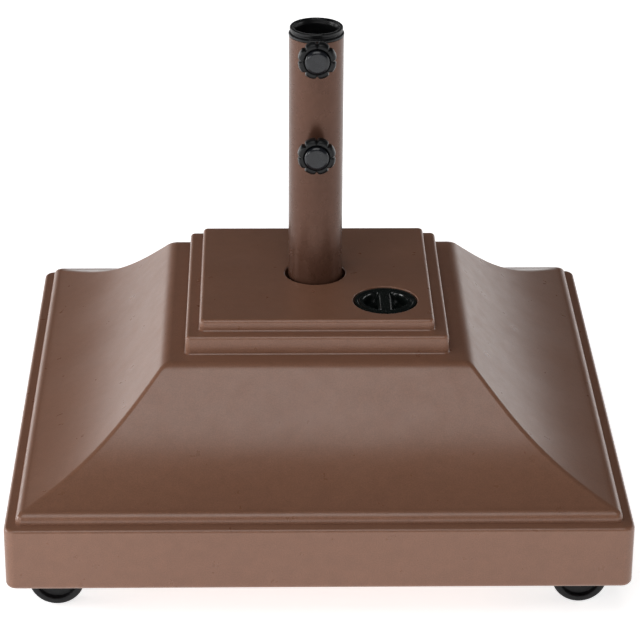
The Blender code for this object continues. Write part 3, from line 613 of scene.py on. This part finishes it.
def build_foot():
    """Foot plate with its drain hole, and the bolts that hold it."""
    low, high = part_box("foot_plate")
    radius = high.x
    drain = FOOT_DRAIN_RADIUS
    profile = soften([(drain, low.z), (radius, low.z), (radius, high.z), (drain, high.z),
                      (drain, low.z)], 0.0006, 3)[:-1]
    plate = link(turned(profile, "foot", 96, closed=True), "foot_plate_visual")
    spots = [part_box(f"foot_bolt_{index}") for index in range(1, 4)]
    drills = []
    for spot_low, spot_high in spots:
        middle = (spot_low + spot_high) / 2
        hole = disc(BOLT_DRILL_RADIUS, low.z - CUT_PAST, high.z + CUT_PAST, "drill", 32)
        drills.append(link(hole, "drill", (middle.x, middle.y, 0)))
    combine(plate, [("DIFFERENCE", drill) for drill in drills])
    show(plate, "root", ["foot_plate"], PAINT)
    for index, (spot_low, spot_high) in enumerate(spots, start=1):
        middle = (spot_low + spot_high) / 2
        head_top = low.z - 0.0003
        bolt = hex_bolt(spot_low.z, head_top, spot_high.z)
        bolt.name = f"foot_bolt_{index}_visual"
        bolt.location = (middle.x, middle.y, 0)
        bake_place(bolt)
        show(bolt, "root", [f"foot_bolt_{index}"], ZINC)


def bake_place(item):
    """Put an object's place into its mesh."""
    item.data.transform(Matrix.LocRotScale(item.location, item.rotation_euler, item.scale))
    item.location = (0, 0, 0)
    item.rotation_euler = (0, 0, 0)


def hex_bolt(bottom, seat, tip):
    """Hex head below, flange, and a threaded shank above."""
    corners = arc((0, 0), BOLT_HEX_RADIUS, 0, 300, 5)
    head = link(prism(corners, bottom, seat - 0.0008, "head"), "bolt")
    crown = link(turned([(0.0, bottom), (0.0062, bottom), (0.0078, bottom + 0.0012),
                         (0.0078, seat), (0.0, seat)], "crown", 48), "crown")
    combine(head, [("INTERSECT", crown)])
    washer = [(0.0, seat - 0.0012), (BOLT_FLANGE_RADIUS, seat - 0.0012),
              (BOLT_FLANGE_RADIUS, seat), (0.0, seat)]
    flange = link(turned(soften(washer, 0.0003, 2), "flange", 48), "flange")
    shank = link(threaded(BOLT_CREST, BOLT_ROOT, seat - 0.0005, tip, BOLT_PITCH), "shank")
    return combine(head, [("UNION", flange), ("UNION", shank)])


def threaded(crest, root, low, high, pitch, segments=20):
    """A screw thread as one skin: the radius follows a helix."""
    steps = int((high - low) / pitch * 8)
    rings = []
    for step in range(steps + 1):
        z = low + (high - low) * step / steps
        fade = min(1.0, (high - z) / (1.5 * pitch))
        ring = []
        for index in range(segments):
            angle = 2 * pi * index / segments
            phase = (z / pitch - index / segments) % 1.0
            tooth = 1 - abs(2 * phase - 1)
            radius = root + (crest - root) * tooth * fade
            ring.append((radius * cos(angle), radius * sin(angle), z))
        rings.append(ring)
    return loft(rings, "thread")


# ---------------------------------------------------------------- collar
def build_collar():
    """Funnel with a lip, a groove and a flange; its sleeve has a slot for the knob's stud."""
    seat = FLOOR + TUBE_TOP + 0.0003
    low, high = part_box("collar")
    top = high.z
    middle = seat - 0.030
    rim = [(COLLAR_BORE, middle), (COLLAR_BORE, top - 0.0042), (0.0201, top - 0.0030),
           (0.0208, top - 0.0012), (0.0214, top - 0.0011), (0.0219, top - 0.0002),
           (0.0238, top), (COLLAR_RIM, top - 0.0009), (COLLAR_RIM, seat + 0.0050),
           (COLLAR_NECK, seat + 0.0042), (COLLAR_NECK, seat + 0.0030),
           (0.0250, seat + 0.0026), (COLLAR_FLANGE, seat + 0.0019), (COLLAR_FLANGE, seat),
           (COLLAR_SLEEVE, seat), (COLLAR_SLEEVE, low.z), (COLLAR_BORE, low.z),
           (COLLAR_BORE, middle)]
    profile = soften(rim, 0.0004, 4)[:-1]
    collar = link(turned(profile, "collar", 128, closed=True), "collar_visual")
    half = COLLAR_SLOT_HALF
    outline = [(-half, low.z - CUT_PAST), (half, low.z - CUT_PAST)]
    outline += arc((0, FLOOR + COLLAR_SLOT_TOP - half), half, 0, 180, 12)
    slot = link(prism(outline, -0.040, -0.010, "slot", "Y"), "slot")
    combine(collar, [("DIFFERENCE", slot)])
    show(collar, "collar", ["collar"], BLACK)


# ---------------------------------------------------------------- knobs
def lobed_ring(radius, notch, y, count=192):
    """Ring of the knob's grip: round lobes parted by narrow notches."""
    ring = []
    for index in range(count):
        angle = 2 * pi * index / count
        wave = cos(KNOB_LOBES * angle)
        dip = max(0.0, wave) ** 5
        swell = 0.10 * wave
        reach = radius - notch * (dip + swell)
        ring.append((reach * cos(angle), y, reach * sin(angle)))
    return ring


def knob_head(name, height):
    """Lobed grip with a recess in front for the centre cap."""
    low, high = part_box(f"knob_{name}_head")
    back, front = high.y, low.y
    radius = (high.x - low.x) / 2 + 0.0004
    notch, seat, hole = KNOB_NOTCH, KNOB_SEAT, STUD_HOLE_RADIUS
    rows = [(hole, 0.0, -0.0427), (hole, 0.0, back - 0.0004), (0.0047, 0.0, back),
            (radius - 0.0042, 0.6 * notch, back), (radius - 0.0028, notch, back - 0.0005),
            (radius - 0.0012, notch, back - 0.0020), (radius - 0.0004, notch, back - 0.0042),
            (radius, notch, (back + front) / 2), (radius - 0.0002, notch, front + 0.0030),
            (radius - 0.0009, notch, front + 0.0014), (radius - 0.0019, notch, front + 0.0005),
            (radius - 0.0031, 0.8 * notch, front + 0.0001), (0.0133, 0.2 * notch, front),
            (0.0126, 0.0, front + 0.0002), (0.0122, 0.0, front + 0.0009),
            (seat, 0.0, front + 0.0012), (seat, 0.0, -0.0440)]
    rings = [lobed_ring(*row) for row in rows]
    head = link(loft(rings, "knob"), f"knob_{name}_head_visual", (0, 0, FLOOR + height))
    bake_place(head)
    show(head, f"knob_{name}", [f"knob_{name}_head"], BLACK)


def knob_cap(name, height):
    """Round centre cap with a broad soft edge."""
    low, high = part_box(f"knob_{name}_centre_cap")
    rim = (high.x - low.x) / 2
    face = low.y
    profile = soften([(0.0, high.y), (rim, high.y), (rim, face + 0.0021),
                      (rim - 0.0004, face + 0.0014), (rim - 0.0013, face + 0.0007),
                      (rim - 0.0022, face + 0.0002), (rim - 0.0031, face), (0.0, face)],
                     0.0004, 3)
    cap = link(turned(profile, "knob_cap", 96, "Y"), f"knob_{name}_centre_cap_visual",
               (0, 0, FLOOR + height))
    bake_place(cap)
    show(cap, f"knob_{name}", [f"knob_{name}_centre_cap"], GLOSS)


def knob_stud(name, height):
    """Threaded stud, laid along Y."""
    low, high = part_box(f"knob_{name}_stud")
    stud = link(threaded(STUD_CREST, STUD_ROOT, low.y, high.y, STUD_PITCH),
                f"knob_{name}_stud_visual", (0, 0, FLOOR + height))
    stud.data.transform(Matrix.Rotation(-pi / 2, 4, "X"))
    bake_place(stud)
    show(stud, f"knob_{name}_screw", [f"knob_{name}_stud"], ZINC)


def build_knobs():
    for name, height in KNOB_HEIGHTS.items():
        knob_head(name, height)
        knob_cap(name, height)
        knob_stud(name, height)


# ---------------------------------------------------------------- filler cap
def smooth_step(low, high, value):
    t = min(1.0, max(0.0, (value - low) / (high - low)))
    return t * t * (3 - 2 * t)


def cap_surface(x, y):
    """Depth of the two finger wells below the cap's face."""
    from_bar = abs(x) - FINGER_BAR_HALF
    from_rim = FINGER_RADIUS - sqrt(x * x + y * y)
    by_bar = smooth_step(-0.0003, 0.0080, from_bar)
    by_rim = smooth_step(-0.0003, 0.0028, from_rim)
    return FINGER_DEPTH * by_bar * by_rim


def build_cap():
    """One skin from the plug's foot, over the thread and the head, into the finger wells."""
    top = FLOOR + CAP_TOP
    turns = 192
    radii = [CAP_FACE_RADIUS * index / 84 for index in range(1, 85)]
    rings = []
    plug_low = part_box("fill_cap")[0].z
    head_low = FLOOR + CAP_SEAT
    side = [(0.0215, plug_low + 0.0006), (0.0221, plug_low), (0.0229, plug_low),
            (PLUG_RADIUS, plug_low + 0.0008)]
    thread_low = plug_low + 0.0012
    outer = [(0.0002, plug_low + 0.0006)] + side
    for index in range(1, 12):
        outer.append((PLUG_RADIUS, thread_low + index * 0.0009))
    outer += [(PLUG_RADIUS, head_low - 0.0001), (0.0240, head_low),
              (CAP_RADIUS - 0.0004, head_low), (CAP_RADIUS, head_low + 0.0004),
              (CAP_RADIUS, top - 0.0011), (CAP_RADIUS - 0.0003, top - 0.0004),
              (CAP_RADIUS - 0.0010, top), (0.0262, top), (0.0257, top - 0.0004),
              (0.0250, top - 0.0005), (0.0244, top - 0.0004), (0.0239, top)]
    for radius, z in outer:
        ring = []
        for index in range(turns):
            angle = 2 * pi * index / turns
            reach = radius
            if radius == PLUG_RADIUS and thread_low < z < head_low - 0.0005:
                phase = (z / PLUG_PITCH - index / turns) % 1.0
                groove = 1 - smooth_step(0.12, 0.30, min(phase, 1 - phase))
                reach = radius - PLUG_THREAD_DEPTH * groove
            ring.append((reach * cos(angle), reach * sin(angle), z))
        rings.append(ring)
    for radius in reversed(radii):
        ring = []
        for index in range(turns):
            angle = 2 * pi * index / turns
            x, y = radius * cos(angle), radius * sin(angle)
            ring.append((x, y, top - cap_surface(x, y)))
        rings.append(ring)
    cap = link(loft(rings, "fill_cap"), "fill_cap_visual", (CAP_SPOT.x, CAP_SPOT.y, 0))
    bake_place(cap)
    show(cap, "cap", ["fill_cap"], POLISHED)


def build_seal():
    """Rubber ring under the cap's head."""
    low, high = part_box("cap_seal")
    section = (high.z - low.z) / 2
    middle = ((high.x - low.x) / 2 - section, (low.z + high.z) / 2)
    seal = link(turned(arc(middle, section, 0, 345, 23), "seal", 96, closed=True),
                "cap_seal_visual", (CAP_SPOT.x, CAP_SPOT.y, 0))
    bake_place(seal)
    show(seal, "cap_lift", ["cap_seal"], SEAL)


# ---------------------------------------------------------------- casters
def wheel_profile(width, radius):
    """Outer face with a hub and a sunk ring, tyre, and the open inner side."""
    half = width / 2
    return soften([(0.0, half - 0.0016), (0.0030, half - 0.0016), (0.0034, half - 0.0008),
                   (0.0078, half - 0.0006), (0.0092, half - 0.0010), (0.0104, half - 0.0036),
                   (0.0176, half - 0.0040), (0.0190, half - 0.0004), (0.0202, half),
                   (radius - 0.0026, half), (radius - 0.0010, half - 0.0008),
                   (radius - 0.0002, half - 0.0026), (radius, 0.0),
                   (radius - 0.0002, 0.0026 - half),
                   (radius - 0.0010, 0.0008 - half), (radius - 0.0026, -half), (0.0200, -half),
                   (0.0190, -0.0020), (0.0062, -0.0020), (0.0056, -half), (0.0033, -half),
                   (0.0033, half - 0.0028), (0.0, half - 0.0028)], 0.0006, 3)


def caster_body():
    """Web between the wheels with the swivel race on top and a slot for the pedal."""
    side = [(-0.0075, 0.0521), (-0.0075, 0.0270), (0.0075, 0.0270)]
    side += arc((TRAIL, 0.0254), 0.0090, 200, 340, 16)
    side += arc(PEDAL_PIN, 0.0045, -40, 110, 12)
    side += [(0.0230, 0.0488), (0.0155, 0.0521)]
    web = link(prism(side, -0.0055, 0.0055, "web", "Y"), "caster_body")
    race = soften([(0.0, 0.0516), (0.0155, 0.0516), (0.0155, 0.0569), (0.0, 0.0569)], 0.0008, 4)
    changes = [("UNION", link(turned(race, "race", 64), "race")),
               ("DIFFERENCE", link(turned([(0.0, 0.0), (0.0046, 0.0), (0.0046, 0.07),
                                           (0.0, 0.07)], "bore", 32), "bore")),
               ("DIFFERENCE", link(disc(0.0033, -0.02, 0.02, "axle_bore", 32, "Y"), "axle_bore",
                                   (TRAIL, 0, 0.0254))),
               ("DIFFERENCE", link(disc(0.0027, -0.02, 0.02, "pin_bore", 32, "Y"), "pin_bore",
                                   (PEDAL_PIN[0], 0, PEDAL_PIN[1]))),
               ("DIFFERENCE", link(prism([(0.0292, 0.0330), (0.060, 0.0330), (0.060, 0.0506),
                                          (0.0292, 0.0506)], -0.0029, 0.0029, "slot", "Y"),
                                   "slot"))]
    combine(web, changes)
    return bevel(web, 0.0004, 2).data


def caster_plate():
    """Top plate with its pressed ring, the kingpin and two screw holes."""
    outline = rounded_square(0.0210, 0.0050, 8)
    plate = link(prism(outline, PLATE_LOW, PLATE_HIGH, "plate"), "plate")
    pin = soften([(0.0, 0.0243), (0.0053, 0.0243), (0.0053, 0.0267), (0.0040, 0.0267),
                  (0.0040, 0.0585), (0.0, 0.0585)], 0.0006, 3)
    rib = soften([(0.0, 0.0571), (0.0125, 0.0571), (0.0137, 0.0585), (0.0, 0.0585)], 0.0005, 3)
    changes = [("UNION", link(turned(rib, "rib", 64), "rib")),
               ("UNION", link(turned(pin, "pin", 32), "pin"))]
    for spot in SCREW_PLACES:
        changes.append(("DIFFERENCE", link(disc(0.0026, 0.05, 0.07, "hole", 24), "hole",
                                           (*spot, 0))))
    combine(plate, changes)
    return bevel(plate, 0.0003, 2).data


def brake_pedal():
    """Pedal drawn from its own pin: eye, arm and a ribbed tread."""
    px, pz = PEDAL_PIN
    eye = arc((0, 0), 0.0041, 60, 250, 14)
    arm = eye + [(0.0145, 0.0348 - pz), (0.0145, 0.0376 - pz)]
    base = link(prism(arm, -0.0025, 0.0025, "arm", "Y"), "pedal")
    tread = soften([(0.0465 - px, 0.0362 - pz), (0.0465 - px, 0.0348 - pz),
                    (0.0582 - px, 0.0348 - pz), (0.0582 - px, 0.0376 - pz),
                    (0.0465 - px, 0.0376 - pz), (0.0465 - px, 0.0363 - pz)], 0.0007, 3)
    plate = link(prism(tread, -0.0200, 0.0200, "tread", "Y"), "tread")
    changes = [("UNION", plate), ("UNION", link(disc(0.0024, -0.0051, 0.0051, "pin", 32, "Y"),
                                                "pin"))]
    for step in range(4):
        near, far = 0.0150 + step * 0.0024, 0.0160 + step * 0.0024
        outline = [(near, 0.0371 - pz), (far, 0.0371 - pz), (far, 0.0390 - pz),
                   (near, 0.0390 - pz)]
        groove = link(prism(outline, -0.0170, 0.0170, "groove", "Y"), "groove")
        changes.append(("DIFFERENCE", groove))
    combine(base, changes)
    return bevel(base, 0.0003, 2).data


def caster_screw():
    """Pan head with a cross recess below, thread above."""
    head = link(turned(soften([(0.0, -0.0020), (0.0018, -0.0020), (0.0033, -0.0013),
                               (0.0038, -0.0004), (0.0038, 0.0), (0.0, 0.0)], 0.0005, 3),
                       "head", 32), "screw")
    thread = threaded(SCREW_CREST, SCREW_ROOT, -0.0005, SCREW_LENGTH, SCREW_PITCH, 12)
    shank = link(thread, "shank")
    changes = [("UNION", shank)]
    for long_x, long_y in ((0.0019, 0.00045), (0.00045, 0.0019)):
        outline = [(-long_x, -long_y), (long_x, -long_y), (long_x, long_y), (-long_x, long_y)]
        changes.append(("DIFFERENCE", link(prism(outline, -0.0030, -0.0008, "cross"), "cross")))
    return combine(head, changes).data


def build_casters():
    tyre_low, tyre_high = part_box("caster_front_left_wheel_front")
    wheel_width = tyre_high.y - tyre_low.y
    wheel_radius = (tyre_high.z - tyre_low.z) / 2
    wheel_mesh = turned(wheel_profile(wheel_width, wheel_radius), "wheel", 96, "Y")
    body_mesh, plate_mesh = caster_body(), caster_plate()
    pedal_mesh, screw_mesh = brake_pedal(), caster_screw()
    axle_mesh = turned(soften([(0.0, -AXLE_HALF), (AXLE_RADIUS, -AXLE_HALF),
                               (AXLE_RADIUS, AXLE_HALF), (0.0, AXLE_HALF)], 0.0005, 3),
                       "axle", 32, "Y")
    for mesh in (body_mesh, plate_mesh, pedal_mesh, screw_mesh):    # only the meshes are kept
        for item in [o for o in bpy.data.objects if o.data is mesh]:
            bpy.data.objects.remove(item, do_unlink=True)
    for corner, (side_x, _) in CORNERS.items():
        name = f"caster_{corner}"
        pivot = Vector(JOINTS[f"{name}_swivel"]["pos_m"])
        turn = Matrix.Rotation(0 if side_x > 0 else pi, 4, "Z")
        base = Matrix.Translation((pivot.x, pivot.y, 0)) @ turn
        swivel = f"{name}_swivel"

        def add(mesh, label, place, body, node, slot, material):
            item = link(mesh.copy(), label)
            item.data.transform(place)
            show(item, body, [node], material)

        add(plate_mesh, f"{name}_plate_visual", base, "root", f"{name}_plate",
            "zinc_plated_steel", ZINC)
        add(body_mesh, f"{name}_body_visual", base, swivel, f"{name}_body", "black_plastic",
            BLACK)
        axle_place = base @ Matrix.Translation((TRAIL, 0, wheel_radius))
        add(axle_mesh, f"{name}_axle_visual", axle_place, swivel, f"{name}_axle",
            "zinc_plated_steel", ZINC)
        for label in ("front", "back"):
            node = f"{name}_wheel_{label}"
            spot = Vector(JOINTS[f"{node}_spin"]["pos_m"])
            flip = Matrix.Rotation(0 if label == "back" else pi, 4, "Z")
            add(wheel_mesh, f"{node}_visual", Matrix.Translation(spot) @ flip, node, node,
                "black_wheel", NYLON)
        pedal_place = base @ Matrix.Translation((PEDAL_PIN[0], 0, PEDAL_PIN[1]))
        add(pedal_mesh, f"{name}_brake_pedal_visual", pedal_place, f"{name}_brake",
            f"{name}_brake_pedal", "black_plastic", BLACK)
        for index, spot in enumerate(SCREW_PLACES, start=1):
            spin = Matrix.Rotation(radians(23 * index), 4, "Z")
            place = base @ Matrix.Translation((*spot, SCREW_SEAT)) @ spin
            add(screw_mesh, f"{name}_screw_{index}_visual", place, "root",
                f"{name}_screw_{index}", "zinc_plated_steel", ZINC)


# ---------------------------------------------------------------- stage
def build_floor():
    """Pale floor with painted light: it glows, less near the base and a little more away from it,
    a painted falloff of light as a lit backdrop shows.
    """
    mesh = bpy.data.meshes.new("floor")
    bm = bmesh.new()
    bmesh.ops.create_grid(bm, x_segments=1, y_segments=1, size=9.0)
    bm.to_mesh(mesh)
    bm.free()
    floor = link(mesh, "floor")
    n = Nodes("pale_floor")
    n.feed("Base Color", n.ramp(n.noise(3.0, 2.0, 0.5), [(0.3, (0.88, 0.88, 0.88)),
                                                        (0.7, (0.90, 0.90, 0.90))]))
    n.feed("Roughness", 0.9)
    n.feed("Specular IOR Level", 0.1)
    n.feed("Emission Color", (1.0, 1.0, 1.0, 1.0))
    away = n.tree.nodes.new("ShaderNodeVectorMath")
    away.operation = "LENGTH"
    n.tree.links.new(n.place, away.inputs[0])
    # painted light and shade: emission 0.76 near the base rising to 1.0 away from it
    n.feed("Emission Strength", n.span(away.outputs["Value"], 0.76, 1.0, 0.35, 0.80))
    mesh.materials.append(n.material)


def area_light(name, azimuth, elevation, distance, size, power):
    """A soft box that faces the base; azimuth 0 is the front, 90 the right side."""
    around, up = radians(azimuth), radians(elevation)
    way = Vector((sin(around) * cos(up), -cos(around) * cos(up), sin(up)))
    data = bpy.data.lights.new(name, "AREA")
    data.shape = "RECTANGLE"
    data.size, data.size_y = size
    data.energy = power
    item = bpy.data.objects.new(name, data)
    item.location = way * distance + Vector((0, 0, 0.12))
    item.rotation_euler = way.to_track_quat("Z", "Y").to_euler()
    bpy.context.scene.collection.objects.link(item)


def build_lights():
    """Soft boxes round the base, and a sky that is bright only near the horizon."""
    area_light("key", -40, 19, 1.9, (0.9, 0.45), 4.7)
    area_light("high", -8, 59, 2.6, (1.7, 1.5), 22)
    area_light("glint", -56, 21, 2.4, (0.5, 0.3), 2)
    area_light("left_box", -88, 13, 2.8, (1.0, 1.0), 30)
    area_light("left_back", -125, 12, 2.8, (1.2, 0.7), 12)
    area_light("right_box", 88, 13, 2.8, (0.8, 1.0), 10)
    area_light("right_back", 125, 12, 2.8, (1.2, 0.7), 6)
    world = bpy.data.worlds.new("studio")
    bpy.context.scene.world = world
    world.use_nodes = True
    tree = world.node_tree
    background = tree.nodes["Background"]
    place = tree.nodes.new("ShaderNodeTexCoord")
    split = tree.nodes.new("ShaderNodeSeparateXYZ")
    ramp = tree.nodes.new("ShaderNodeValToRGB")
    stops = [(0.0, 1.08), (0.08, 1.08), (0.16, 0.13), (0.24, 0.07), (0.34, 0.02)]
    elements = ramp.color_ramp.elements
    while len(elements) < len(stops):
        elements.new(0.5)
    for element, (position, grey) in zip(elements, stops):
        element.position = position
        element.color = (grey, grey, grey, 1)
    tree.links.new(place.outputs["Generated"], split.inputs["Vector"])
    tree.links.new(split.outputs["Z"], ramp.inputs["Fac"])
    tree.links.new(ramp.outputs["Color"], background.inputs["Color"])


def build_camera():
    """Long lens from the front, looking 25 degrees down."""
    data = bpy.data.cameras.new("camera")
    data.sensor_width = 36.0
    data.lens = 157.93
    data.clip_end = 50.0
    camera = bpy.data.objects.new("camera", data)
    camera.location = (-0.0498, -2.4447, 1.3219)
    camera.rotation_euler = (radians(64.824), radians(-0.342), radians(-1.124))
    bpy.context.scene.collection.objects.link(camera)
    bpy.context.scene.camera = camera
    bpy.context.scene.view_settings.view_transform = "Standard"


build_camera()
build_floor()
build_lights()
build_tank()
build_tube()
build_weld_nuts()
build_foot()
build_collar()
build_knobs()
build_cap()
build_seal()
build_casters()
